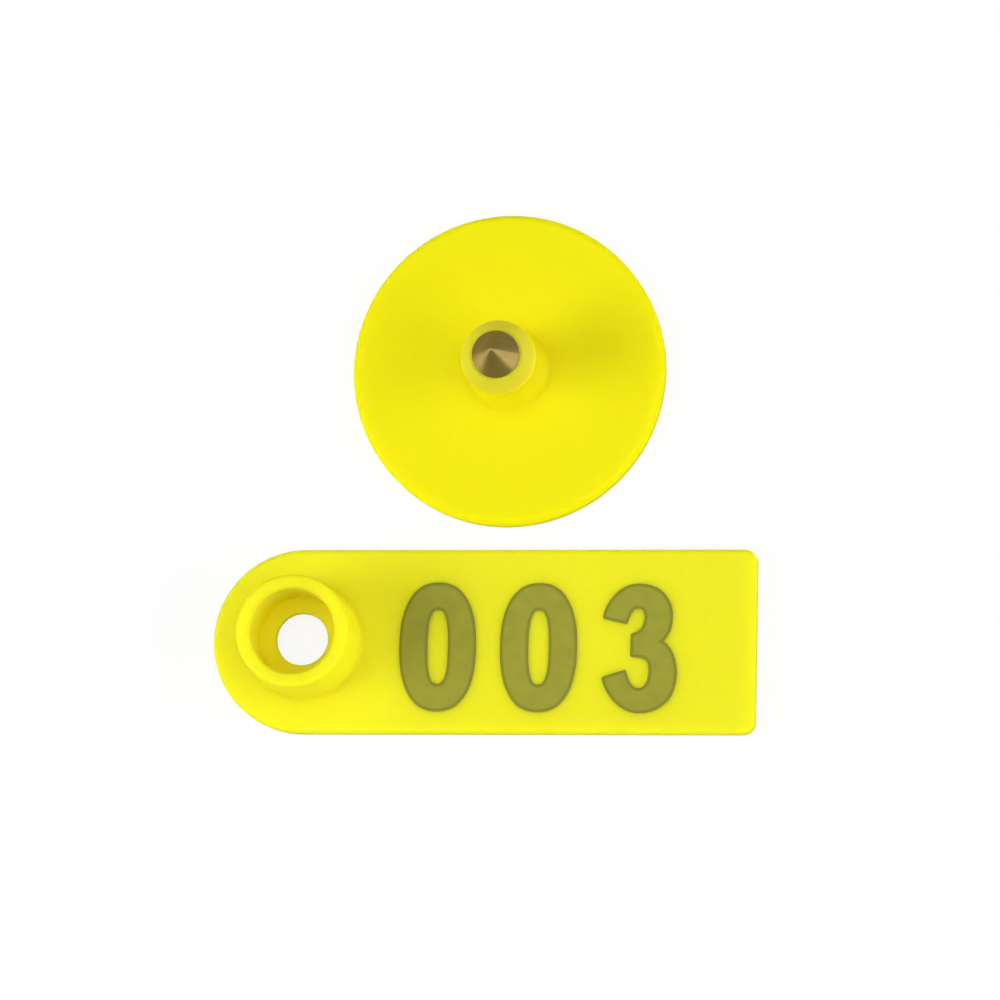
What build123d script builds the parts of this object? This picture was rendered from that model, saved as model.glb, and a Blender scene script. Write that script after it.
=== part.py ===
from build123d import *
from math import radians, tan
import os

# Livestock ear tag, its two halves laid on their backs as they come before use: a numbered flag with
# a hollow collar, and a round button with a barbed stud that ends in a brass point.
# Millimetres. +Z is up from the table, +X runs along the flag to its free end, +Y goes across it to
# the button. The origin is on the table, under the middle of the pair.

# Numbered flag, the female half
flag_length = 52.0
flag_width = 17.6
flag_thickness = 1.4
flag_corner_radius = 1.2
flag_front_edge_radius = 0.45

# Collar that stands on the flag's round end and covers the point of the stud
collar_height = 7.4
collar_wall = 1.3
collar_draft_angle = 1.0
collar_foot_fillet = 0.5
collar_rim_radius = 0.35
collar_mouth_chamfer = 0.2

# Locking lip at the bottom of the collar, and the cone behind it that leads the point in
lip_height = 2.7
lip_land = 0.9
lead_in_diameter = 7.6

# Button, the male half
button_diameter = 30.0
button_thickness = 1.4
button_edge_bevel = 0.38
button_edge_rounding = 0.42

# Stud on the button: a spread root, a plain shank and a barbed head
root_diameter = 7.9
root_height = 1.6
root_fillet = 0.4
shank_diameter = 4.9
barb_diameter = 7.1
barb_land = 0.5
barb_slope_height = 1.5
barb_edge_radius = 0.15
head_rim = 0.3

# Brass point, held in the head of the stud by a neck and an anchor flange
tip_diameter = 4.5
tip_land = 0.25
tip_cone_height = 2.9
tip_nose_diameter = 0.3
tip_nose_radius = 0.2
tip_neck_diameter = 2.6
tip_neck_length = 0.8
anchor_length = 1.0
anchor_cover = 0.65

# Blind bore up the stud from the back of the button, for the applicator's pin
pin_diameter = 2.7
pin_clearance = 0.05
pin_bore_chamfer = 0.4

# Fits between the two halves, and the room that they leave for the ear
lip_clearance = 0.05
chamber_clearance = 0.5
ear_gap = 3.8

# How the halves lie beside each other
lay_gap = 2.3
button_shift = 1.9

# Sizes that follow from those above
chamber_radius = barb_diameter / 2 + chamber_clearance
lip_hole_radius = shank_diameter / 2 + lip_clearance
rim_level = flag_thickness + collar_height
rim_radius = chamber_radius + collar_wall
collar_foot_radius = rim_radius + collar_height * tan(radians(collar_draft_angle))
root_level = button_thickness + root_height
barb_level = button_thickness + ear_gap + lip_height
barb_top_level = barb_level + barb_land
head_level = barb_top_level + barb_slope_height
anchor_top_level = head_level - tip_neck_length
anchor_level = anchor_top_level - anchor_length
anchor_radius = shank_diameter / 2 - anchor_cover
pin_bore_radius = pin_diameter / 2 + pin_clearance

# Where the two halves lie
pair_depth = flag_width + lay_gap + button_diameter
collar_place = Pos(flag_width / 2 - flag_length / 2, flag_width / 2 - pair_depth / 2)
button_place = Pos(button_shift, pair_depth / 2 - button_diameter / 2)

SHARP = 0


def turned(corners):
    """Solid turned about Z from a closed section. A corner is (radius, height, rounding)."""
    outline = FilletPolyline(
        [(radius, 0, height) for radius, height, rounding in corners],
        radius=[rounding for radius, height, rounding in corners],
        close=True,
    )
    return revolve(make_face(outline), Axis.Z)


def flag_plate():
    """Flat plate, a half circle round the collar at one end and square at the other."""
    round_end = Circle(flag_width / 2)
    straight = Rectangle(flag_length - flag_width / 2, flag_width, align=(Align.MIN, Align.CENTER))
    free_corners = straight.vertices().group_by(Axis.X)[-1]
    plate = extrude(round_end + fillet(free_corners, flag_corner_radius), flag_thickness)
    return fillet(plate.edges().group_by(Axis.Z)[-1], flag_front_edge_radius)


def collar():
    """Tapered wall with its foot in the plate, the chamber for the barb, the lip and the lead-in."""
    skirt_radius = collar_foot_radius + 2 * collar_foot_fillet
    return turned(
        [
            (lead_in_diameter / 2, 0, SHARP),
            (skirt_radius, 0, SHARP),
            (skirt_radius, flag_thickness, SHARP),
            (collar_foot_radius, flag_thickness, collar_foot_fillet),
            (rim_radius, rim_level, collar_rim_radius),
            (chamber_radius + collar_mouth_chamfer, rim_level, SHARP),
            (chamber_radius, rim_level - collar_mouth_chamfer, SHARP),
            (chamber_radius, lip_height, SHARP),
            (lip_hole_radius, lip_height, SHARP),
            (lip_hole_radius, lip_height - lip_land, SHARP),
        ]
    )


def female_flag():
    """Plate and collar in one moulding."""
    collar_seat = extrude(Circle(collar_foot_radius), flag_thickness)
    return collar_place * (flag_plate() - collar_seat + collar())


def male_button():
    """Disc and barbed stud in one moulding, bored for the pin and moulded round the point's anchor."""
    return button_place * turned(
        [
            (pin_bore_radius + pin_bore_chamfer, 0, SHARP),
            (button_diameter / 2, 0, SHARP),
            (button_diameter / 2, button_thickness - button_edge_bevel, button_edge_rounding),
            (button_diameter / 2 - button_edge_bevel, button_thickness, button_edge_rounding),
            (root_diameter / 2, button_thickness, root_fillet),
            (shank_diameter / 2, root_level, SHARP),
            (shank_diameter / 2, barb_level, SHARP),
            (barb_diameter / 2, barb_level, SHARP),
            (barb_diameter / 2, barb_top_level, barb_edge_radius),
            (tip_diameter / 2 + head_rim, head_level, SHARP),
            (tip_neck_diameter / 2, head_level, SHARP),
            (tip_neck_diameter / 2, anchor_top_level, SHARP),
            (anchor_radius, anchor_top_level, SHARP),
            (anchor_radius, anchor_level, SHARP),
            (pin_bore_radius, anchor_level, SHARP),
            (pin_bore_radius, pin_bore_chamfer, SHARP),
        ]
    )


def piercing_tip():
    """Turned point: a cone that sits on the stud's head, with the neck and anchor inside it."""
    cone_level = head_level + tip_land
    nose_level = cone_level + tip_cone_height
    return button_place * turned(
        [
            (0, anchor_level, SHARP),
            (anchor_radius, anchor_level, SHARP),
            (anchor_radius, anchor_top_level, SHARP),
            (tip_neck_diameter / 2, anchor_top_level, SHARP),
            (tip_neck_diameter / 2, head_level, SHARP),
            (tip_diameter / 2, head_level, SHARP),
            (tip_diameter / 2, cone_level, SHARP),
            (tip_nose_diameter / 2, nose_level, tip_nose_radius),
            (0, nose_level, SHARP),
        ]
    )


os.makedirs("parts", exist_ok=True)
for piece in (female_flag, male_button, piercing_tip):
    export_step(piece(), f"parts/{piece.__name__}.step")
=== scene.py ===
from math import copysign, cos, pi, radians, sin

import bpy
from mathutils import Euler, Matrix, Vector


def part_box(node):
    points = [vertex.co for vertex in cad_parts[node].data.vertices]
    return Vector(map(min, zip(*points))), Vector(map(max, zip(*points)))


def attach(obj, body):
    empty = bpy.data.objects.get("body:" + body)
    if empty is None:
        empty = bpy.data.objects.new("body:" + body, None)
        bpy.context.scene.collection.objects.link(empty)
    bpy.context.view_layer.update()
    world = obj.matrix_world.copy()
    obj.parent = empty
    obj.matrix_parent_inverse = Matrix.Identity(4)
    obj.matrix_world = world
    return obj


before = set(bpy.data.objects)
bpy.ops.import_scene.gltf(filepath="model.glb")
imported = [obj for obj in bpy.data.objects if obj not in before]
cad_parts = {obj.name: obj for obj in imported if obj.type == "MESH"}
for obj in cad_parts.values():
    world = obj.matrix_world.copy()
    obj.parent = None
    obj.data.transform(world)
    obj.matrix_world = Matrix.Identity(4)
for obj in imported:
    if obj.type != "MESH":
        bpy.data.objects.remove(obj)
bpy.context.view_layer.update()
scene = bpy.context.scene

# Button, the male half: a round disc with a hollow barbed stud on its middle, moulded in one shot of
# soft yellow polyurethane. It lies on its back, and locks to the flag only once it is through an ear.
MM = 0.001


def linear(colour):
    """An sRGB hex colour as the linear red, green, blue and alpha that shaders take."""
    channels = [int(colour[i : i + 2], 16) / 255 for i in (1, 3, 5)]
    return [c / 12.92 if c <= 0.04045 else ((c + 0.055) / 1.055) ** 2.4 for c in channels] + [1.0]


def add(tree, kind, inputs=None, **settings):
    """Adds a node to a tree. Each input is given a value, or the output socket that feeds it."""
    node = tree.nodes.new(kind)
    for name, value in settings.items():
        setattr(node, name, value)
    for name, value in (inputs or {}).items():
        if isinstance(value, bpy.types.NodeSocket):
            tree.links.new(value, node.inputs[name])
        else:
            node.inputs[name].default_value = value
    return node


def material_tree(name):
    """A new material with an empty node tree."""
    material = bpy.data.materials.new(name)
    material.use_nodes = True
    material.node_tree.nodes.clear()
    return material, material.node_tree


def per_metre(size):
    """Texture scale that makes a pattern's cells this size across, in metres."""
    return 1 / size


# Where a colour mix node keeps its colour sockets, behind those for numbers and vectors
MIX_COLOUR_A, MIX_COLOUR_B, MIX_COLOUR_OUT = 6, 7, 2


def moulded_polyurethane(name, pale, deep, flow, gloss, painted_shade=None):
    """Soft pigmented polyurethane from a spark-eroded mould: satin, a little see-through at thin edges,
    clouded where the melt flowed, with a fine even grain. flow stretches the clouds along the melt, gloss
    is the mould's polish, and the last argument, if given, is painted shade: a darker colour mixed in above a
    height."""
    cloud_size = 9 * MM
    grain_size = 0.22 * MM  # the real grain is nearer 0.05 mm, and is drawn coarser so that it shows
    grain_depth = 0.012 * MM
    dull, smooth = 0.58, 0.48
    light_path = 2.3 * MM  # how far red light strays inside
    path_by_colour = (1.0, 0.9, 0.06)  # as shares of it, for red, green and blue
    material, tree = material_tree(name)
    place = add(tree, "ShaderNodeTexCoord").outputs["Object"]
    along_flow = add(tree, "ShaderNodeMapping", {"Vector": place, "Scale": flow}).outputs["Vector"]
    cloud = add(
        tree,
        "ShaderNodeTexNoise",
        {"Vector": along_flow, "Scale": per_metre(cloud_size), "Detail": 3.0, "Roughness": 0.45},
    ).outputs["Fac"]
    colour = add(
        tree,
        "ShaderNodeMix",
        {"Factor": cloud, MIX_COLOUR_A: linear(deep), MIX_COLOUR_B: linear(pale)},
        data_type="RGBA",
    ).outputs[MIX_COLOUR_OUT]
    # Painted shade: above the given height the colour fades over to the darker shade colour
    if painted_shade:
        shade_tone, level, fade = painted_shade
        height = add(tree, "ShaderNodeSeparateXYZ", {"Vector": place}).outputs["Z"]
        share = add(
            tree,
            "ShaderNodeMapRange",
            {"Value": height, "From Min": level, "From Max": level + fade},
        ).outputs["Result"]
        colour = add(
            tree,
            "ShaderNodeMix",
            {"Factor": share, MIX_COLOUR_A: colour, MIX_COLOUR_B: linear(shade_tone)},
            data_type="RGBA",
        ).outputs[MIX_COLOUR_OUT]
    satin = add(
        tree,
        "ShaderNodeMapRange",
        {"Value": cloud, "To Min": dull, "To Max": smooth},
    ).outputs["Result"]
    grain = add(
        tree,
        "ShaderNodeTexNoise",
        {"Vector": place, "Scale": per_metre(grain_size), "Detail": 1.0},
    ).outputs["Fac"]
    bump = add(
        tree,
        "ShaderNodeBump",
        {"Height": grain, "Strength": 0.35, "Distance": grain_depth},
    ).outputs["Normal"]
    shader = add(
        tree,
        "ShaderNodeBsdfPrincipled",
        {
            "Base Color": colour,
            "Roughness": satin,
            "Normal": bump,
            "IOR": 1.5,
            "Specular IOR Level": gloss,
            "Subsurface Weight": 1.0,
            "Subsurface Radius": path_by_colour,
            "Subsurface Scale": light_path,
        },
    )
    add(tree, "ShaderNodeOutputMaterial", {"Surface": shader.outputs["BSDF"]})
    return material


def finish_node(node, material):
    """Gives a whole solid one finish."""
    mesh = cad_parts[node].data
    mesh.materials.clear()
    mesh.materials.append(material)


# Painted shade: the plastic round the brass point is painted a darker olive from the barb's edge upwards,
# standing in for the shade on the stud's head
head_depth = 2.0 * MM
painted_shade_fade = 0.7 * MM
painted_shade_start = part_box("male_button")[1].z - head_depth
button_plastic = moulded_polyurethane(
    "polyurethane_button",
    pale="#FFEA10",
    deep="#FDE50E",
    flow=(1, 1, 1),
    gloss=0.045,
    painted_shade=("#D8D034", painted_shade_start, painted_shade_fade),
)
finish_node("male_button", button_plastic)

# Piercing point: turned from brass bar, with its neck and anchor flange held inside the stud's head,
# which was moulded round them. Only the cone and the thin land under it show.


def wave_scale(pitch):
    """Scale at which a wave texture's bands lie this far apart, in metres: at 1 they are pi / 10 apart."""
    return per_metre(pitch) * pi / 10


def turned_brass():
    """Bare brass straight from the lathe: the tool's rings spread each reflection across them into
    bright and dark wedges, and handling has dulled it to a brown gold."""
    ring_pitch = 0.14 * MM  # the tool's feed is nearer 0.05 mm, and is drawn coarser so that it shows
    ring_depth = 0.006 * MM
    tarnish_size = 1.6 * MM
    material, tree = material_tree("turned_brass")
    place = add(tree, "ShaderNodeTexCoord").outputs["Object"]
    tarnish = add(
        tree,
        "ShaderNodeTexNoise",
        {"Vector": place, "Scale": per_metre(tarnish_size), "Detail": 4.0},
    ).outputs["Fac"]
    colour = add(
        tree,
        "ShaderNodeMix",
        {"Factor": tarnish, MIX_COLOUR_A: linear("#877641"), MIX_COLOUR_B: linear("#AB9759")},
        data_type="RGBA",
    ).outputs[MIX_COLOUR_OUT]
    rings = add(
        tree,
        "ShaderNodeTexWave",
        {"Vector": place, "Scale": wave_scale(ring_pitch)},
        bands_direction="Z",
    ).outputs["Fac"]
    bump = add(
        tree,
        "ShaderNodeBump",
        {"Height": rings, "Strength": 0.4, "Distance": ring_depth},
    ).outputs["Normal"]
    round_axis = add(tree, "ShaderNodeTangent", direction_type="RADIAL", axis="Z").outputs["Tangent"]
    shader = add(
        tree,
        "ShaderNodeBsdfPrincipled",
        {
            "Base Color": colour,
            "Metallic": 1.0,
            "Specular Tint": linear("#B8884E"),
            "Roughness": 0.4,
            "Anisotropic": 0.9,
            "Anisotropic Rotation": 0.25,
            "Tangent": round_axis,
            "Normal": bump,
        },
    )
    add(tree, "ShaderNodeOutputMaterial", {"Surface": shader.outputs["BSDF"]})
    return material


finish_node("piercing_tip", turned_brass())

# Flag, the female half: a flat plate with a hollow collar on its round end, one moulding of the same
# polyurethane from another mould. The melt ran along the plate, so its clouds are drawn out that way.
flag_plastic = moulded_polyurethane(
    "polyurethane_flag",
    pale="#F8EE22",
    deep="#F6E81C",
    flow=(0.25, 1, 1),
    gloss=0.1,
)
finish_node("female_flag", flag_plastic)

# Running number on the flag's face: burnt into the polyurethane by a laser, which first hatches each
# figure and then runs round its outline, where it chars deeper. It stands proud by a hair's width.
flag_low, flag_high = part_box("female_flag")
flag_middle = (flag_low + flag_high) / 2
flag_face_level = 1.4 * MM  # the plate's thickness
figure_pitch = 9.66 * MM
first_figure = (-4.34 * MM, -0.57 * MM)  # from the flag's middle
row_drop = -0.06 * MM  # each figure sits this much lower than the one before
figure_half_width = 3.52 * MM
figure_half_height = 6.0 * MM
zero_squareness = 2.35
counter_half_width = 1.14 * MM
counter_half_height = 3.7 * MM
counter_squareness = 2.7
zero_steps = 96
fill_rise = 0.02 * MM
contour_width = 0.34 * MM
contour_rise = 0.03 * MM


def superellipse(half_width, half_height, squareness):
    """Points of a squarish oval round the origin."""
    points = []
    for step in range(zero_steps):
        angle = 2 * pi * step / zero_steps
        across = copysign(abs(cos(angle)) ** (2 / squareness), cos(angle))
        up = copysign(abs(sin(angle)) ** (2 / squareness), sin(angle))
        points.append((half_width * across, half_height * up))
    return points


def figure_place(place):
    """Middle of the figure that stands at this place in the number, on the flag's face."""
    x, y = first_figure
    middle = flag_middle + Vector((x + place * figure_pitch, y + place * row_drop, 0))
    middle.z = flag_face_level
    return middle


def laser_pass_tree():
    """Fills outlines with a thin mark, runs a bead along them and repeats the figure along the row."""
    weld_distance = 0.001 * MM
    bead_sides = 10
    tree = bpy.data.node_groups.new("laser_pass", "GeometryNodeTree")
    sockets = {}
    for name, kind in (
        ("Outline", "NodeSocketGeometry"),
        ("First place", "NodeSocketVector"),
        ("Pitch", "NodeSocketVector"),
        ("Figures", "NodeSocketInt"),
        ("Fill rise", "NodeSocketFloat"),
        ("Contour width", "NodeSocketFloat"),
        ("Contour rise", "NodeSocketFloat"),
        ("Finish", "NodeSocketMaterial"),
    ):
        sockets[name] = tree.interface.new_socket(name, in_out="INPUT", socket_type=kind).identifier
    tree.interface.new_socket("Mark", in_out="OUTPUT", socket_type="NodeSocketGeometry")
    given = add(tree, "NodeGroupInput").outputs
    flat = add(tree, "GeometryNodeFillCurve", {"Curve": given["Outline"]}).outputs["Mesh"]
    raised = add(
        tree,
        "GeometryNodeExtrudeMesh",
        {"Mesh": flat, "Offset Scale": given["Fill rise"], "Individual": False},
    ).outputs["Mesh"]
    underside = add(tree, "GeometryNodeFlipFaces", {"Mesh": flat}).outputs["Mesh"]
    slab = add(tree, "GeometryNodeJoinGeometry")
    tree.links.new(raised, slab.inputs["Geometry"])
    tree.links.new(underside, slab.inputs["Geometry"])
    hatch = add(
        tree,
        "GeometryNodeMergeByDistance",
        {"Geometry": slab.outputs["Geometry"], "Distance": weld_distance},
    )
    bead = add(
        tree,
        "GeometryNodeCurvePrimitiveCircle",
        {"Resolution": bead_sides, "Radius": 0.5},
    ).outputs["Curve"]
    bead_size = add(
        tree,
        "ShaderNodeCombineXYZ",
        {"X": given["Contour width"], "Y": given["Contour rise"], "Z": 1.0},
    ).outputs["Vector"]
    flat_bead = add(tree, "GeometryNodeTransform", {"Geometry": bead, "Scale": bead_size}).outputs["Geometry"]
    level_outline = add(
        tree,
        "GeometryNodeSetCurveNormal",
        {"Curve": given["Outline"]},
        mode="Z_UP",
    ).outputs["Curve"]
    contour = add(
        tree,
        "GeometryNodeCurveToMesh",
        {"Curve": level_outline, "Profile Curve": flat_bead},
    ).outputs["Mesh"]
    charred = add(
        tree,
        "GeometryNodeStoreNamedAttribute",
        {"Geometry": contour, "Name": "char", "Value": 1.0},
        data_type="FLOAT",
        domain="POINT",
    ).outputs["Geometry"]
    figure = add(tree, "GeometryNodeJoinGeometry")
    tree.links.new(hatch.outputs["Geometry"], figure.inputs["Geometry"])
    tree.links.new(charred, figure.inputs["Geometry"])
    row = add(
        tree,
        "GeometryNodeMeshLine",
        {"Count": given["Figures"], "Start Location": given["First place"], "Offset": given["Pitch"]},
    ).outputs["Mesh"]
    figures = add(
        tree,
        "GeometryNodeInstanceOnPoints",
        {"Points": row, "Instance": figure.outputs["Geometry"]},
    ).outputs["Instances"]
    whole = add(tree, "GeometryNodeRealizeInstances", {"Geometry": figures}).outputs["Geometry"]
    finished = add(
        tree,
        "GeometryNodeSetMaterial",
        {"Geometry": whole, "Material": given["Finish"]},
    ).outputs["Geometry"]
    add(tree, "NodeGroupOutput", {"Mark": finished})
    return tree, sockets


def laser_burnt_polyurethane():
    """Polyurethane foamed and scorched by a laser: dead matt olive, faintly ribbed by the hatching, and
    darker where the beam ran round the outline."""
    hatch_pitch = 0.3 * MM  # the beam's own lines are 0.1 mm apart, and are drawn coarser so that they show
    hatch_depth = 0.02 * MM
    mottle_size = 1.1 * MM
    material, tree = material_tree("laser_burnt_polyurethane")
    place = add(tree, "ShaderNodeTexCoord").outputs["Object"]
    mottle = add(
        tree,
        "ShaderNodeTexNoise",
        {"Vector": place, "Scale": per_metre(mottle_size), "Detail": 4.0},
    ).outputs["Fac"]
    fill = add(
        tree,
        "ShaderNodeMix",
        {"Factor": mottle, MIX_COLOUR_A: linear("#8C8C2D"), MIX_COLOUR_B: linear("#A09F35")},
        data_type="RGBA",
    ).outputs[MIX_COLOUR_OUT]
    char = add(tree, "ShaderNodeAttribute", attribute_name="char").outputs["Fac"]
    colour = add(
        tree,
        "ShaderNodeMix",
        {"Factor": char, MIX_COLOUR_A: fill, MIX_COLOUR_B: linear("#84842B")},
        data_type="RGBA",
    ).outputs[MIX_COLOUR_OUT]
    hatch = add(
        tree,
        "ShaderNodeTexWave",
        {"Vector": place, "Scale": wave_scale(hatch_pitch), "Distortion": 0.4},
        bands_direction="Y",
    ).outputs["Fac"]
    bump = add(
        tree,
        "ShaderNodeBump",
        {"Height": hatch, "Strength": 0.3, "Distance": hatch_depth},
    ).outputs["Normal"]
    shader = add(
        tree,
        "ShaderNodeBsdfPrincipled",
        {
            "Base Color": colour,
            "Roughness": 0.8,
            "Normal": bump,
            "IOR": 1.5,
            "Specular IOR Level": 0.2,
        },
    )
    add(tree, "ShaderNodeOutputMaterial", {"Surface": shader.outputs["BSDF"]})
    return material


mark_tree, mark_sockets = laser_pass_tree()
mark_finish = laser_burnt_polyurethane()


def burn_figures(name, outline, place, figures):
    """Burns an outline into the flag at a place in the row and as many times as it follows itself."""
    drawn = bpy.data.objects.new(name, outline)
    scene.collection.objects.link(drawn)
    passes = drawn.modifiers.new("laser_pass", "NODES")
    passes.node_group = mark_tree
    for socket, value in (
        ("First place", figure_place(place)),
        ("Pitch", (figure_pitch, row_drop, 0.0)),
        ("Figures", figures),
        ("Fill rise", fill_rise),
        ("Contour width", contour_width),
        ("Contour rise", contour_rise * 2),  # the bead is an oval, half of it sunk in the flag
        ("Finish", mark_finish),
    ):
        passes[mark_sockets[socket]] = value
    burnt = drawn.evaluated_get(bpy.context.evaluated_depsgraph_get())
    mesh = bpy.data.meshes.new_from_object(burnt)
    bpy.data.objects.remove(drawn)
    mark = bpy.data.objects.new(name, mesh)
    scene.collection.objects.link(mark)
    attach(mark, "root")


zero_outline = bpy.data.curves.new("zero_outline", "CURVE")
zero_outline.dimensions = "3D"
for oval in (
    superellipse(figure_half_width, figure_half_height, zero_squareness),
    superellipse(counter_half_width, counter_half_height, counter_squareness),
):
    spline = zero_outline.splines.new("POLY")
    spline.points.add(len(oval) - 1)
    spline.use_cyclic_u = True
    for point, (x, y) in zip(spline.points, oval):
        point.co = (x, y, 0, 1)
burn_figures("number_zeros", zero_outline, place=0, figures=2)

# Outline of the three in mm from its middle, clockwise from the end of its upper stroke: each corner or
# turn with the pull of the curve that comes in and of the one that goes out
STRAIGHT = (0, 0)
three_steps = 14
three_turns = (
    ((-3.39, 2.97), STRAIGHT, (0.25, 1.35)),
    ((-0.16, 6.02), (-1.75, 0), (1.95, 0)),
    ((2.95, 2.99), (0, 1.75), (0, -1.24)),
    ((1.88, 0.66), (0.55, 0.30), (0.90, -0.32)),
    ((3.41, -2.41), (0, 1.48), (0, -2.20)),
    ((-0.06, -6.03), (2.20, 0), (-1.75, 0)),
    ((-3.42, -2.87), (0.28, -1.30), STRAIGHT),
    ((-1.40, -2.22), STRAIGHT, (0.15, -1.00)),
    ((-0.09, -3.98), (-0.59, 0), (0.65, 0)),
    ((1.06, -2.12), (0, -1.19), (0, 1.15)),
    ((-0.74, -0.69), (1.40, 0), STRAIGHT),
    ((-0.69, 1.30), STRAIGHT, (0.75, 0.06)),
    ((0.60, 3.08), (0, -1.05), (0, 0.52)),
    ((-0.20, 4.00), (0.44, 0), (-0.52, 0)),
    ((-1.32, 2.48), (0.26, 0.95), STRAIGHT),
)
three_outline = bpy.data.curves.new("three_outline", "CURVE")
three_outline.dimensions = "3D"
three_outline.resolution_u = three_steps
spline = three_outline.splines.new("BEZIER")
spline.bezier_points.add(len(three_turns) - 1)
spline.use_cyclic_u = True
for point, (turn, pull_in, pull_out) in zip(spline.bezier_points, three_turns):
    point.handle_left_type = point.handle_right_type = "FREE"
    point.co = Vector((*turn, 0)) * MM
    point.handle_left = point.co + Vector((*pull_in, 0)) * MM
    point.handle_right = point.co + Vector((*pull_out, 0)) * MM
burn_figures("number_three", three_outline, place=2, figures=1)

# Table top: plain white card, which stays white to the eye, the metal and the hole through the collar
# while it still takes a soft shadow.
floor_reach = 3.0
glow_share = 0.86  # the rest of the card's white is light that falls on it, which the shadow takes away
floor_mesh = bpy.data.meshes.new("floor")
corners = [(floor_reach * x, floor_reach * y, 0) for x, y in ((-1, -1), (1, -1), (1, 1), (-1, 1))]
floor_mesh.from_pydata(corners, [], [(0, 1, 2, 3)])
floor = bpy.data.objects.new("floor", floor_mesh)
scene.collection.objects.link(floor)
card, tree = material_tree("white_card")
path = add(tree, "ShaderNodeLightPath").outputs
seen = add(
    tree,
    "ShaderNodeMath",
    {0: path["Is Camera Ray"], 1: path["Is Glossy Ray"]},
    operation="MAXIMUM",
).outputs["Value"]
shown = add(
    tree,
    "ShaderNodeMath",
    {0: seen, 1: path["Is Transmission Ray"]},
    operation="MAXIMUM",
).outputs["Value"]
paper = add(tree, "ShaderNodeBsdfDiffuse", {"Color": linear("#F8F8F8")}).outputs["BSDF"]
glow = add(tree, "ShaderNodeEmission", {"Color": linear("#FFFFFF"), "Strength": 1.0}).outputs["Emission"]
lifted = add(tree, "ShaderNodeMixShader", {0: glow_share, 1: paper, 2: glow}).outputs["Shader"]
look = add(tree, "ShaderNodeMixShader", {0: shown, 1: paper, 2: lifted}).outputs["Shader"]
add(tree, "ShaderNodeOutputMaterial", {"Surface": look})
floor_mesh.materials.append(card)

# Light: two softboxes, a broad low one from the right and a smaller, higher one from the left, in a dim
# room with a bright patch of ceiling overhead that gives about half of the light.


def softbox(name, azimuth, elevation, spread, strength):
    """A broad far light that shines from this direction, in degrees, over a patch of sky this wide."""
    lamp = bpy.data.lights.new(name, "SUN")
    lamp.energy = strength
    lamp.angle = radians(spread)
    holder = bpy.data.objects.new(name, lamp)
    holder.rotation_euler = (0, radians(90 - elevation), radians(azimuth))
    scene.collection.objects.link(holder)


softbox("right_softbox", azimuth=-13, elevation=22, spread=60, strength=1.85)
softbox("left_softbox", azimuth=195, elevation=34, spread=36, strength=1.6)
wall_brightness = 0.08
ceiling_brightness = 4.4
overhead_focus = 16.0
room = bpy.data.worlds.new("studio")
room.use_nodes = True
room.node_tree.nodes.clear()
tree = room.node_tree
direction = add(tree, "ShaderNodeTexCoord").outputs["Generated"]
height = add(tree, "ShaderNodeSeparateXYZ", {"Vector": direction}).outputs["Z"]
overhead = add(
    tree,
    "ShaderNodeMath",
    {0: height, 1: overhead_focus},
    operation="POWER",
).outputs["Value"]
brightness = add(
    tree,
    "ShaderNodeMapRange",
    {"Value": overhead, "To Min": wall_brightness, "To Max": ceiling_brightness},
).outputs["Result"]
fill_light = add(tree, "ShaderNodeBackground", {"Color": linear("#FFFFFF"), "Strength": brightness})
add(tree, "ShaderNodeOutputWorld", {"Surface": fill_light.outputs["Background"]})
scene.world = room

# Camera: far off and almost straight above, leaning a little to the right and towards the flag's side
# of the pair, with a long lens, so that the collar's and stud's walls just show.
camera_target = Vector((1.15, -2.4, 0)) * MM
camera_distance = 800 * MM
lean_to_front = 8.75
lean_to_right = 8.25
roll = 1.15
film_width = 36  # mm, as is the lens
long_lens = 302.4
camera_data = bpy.data.cameras.new("camera")
camera_data.sensor_width = film_width
camera_data.lens = long_lens
camera = bpy.data.objects.new("camera", camera_data)
turn = Euler((radians(lean_to_front), radians(lean_to_right), radians(roll)), "ZXY")
camera.rotation_mode = "ZXY"
camera.rotation_euler = turn
camera.location = camera_target + turn.to_matrix() @ Vector((0, 0, camera_distance))
scene.collection.objects.link(camera)
scene.camera = camera

scene.view_settings.view_transform = "Standard"
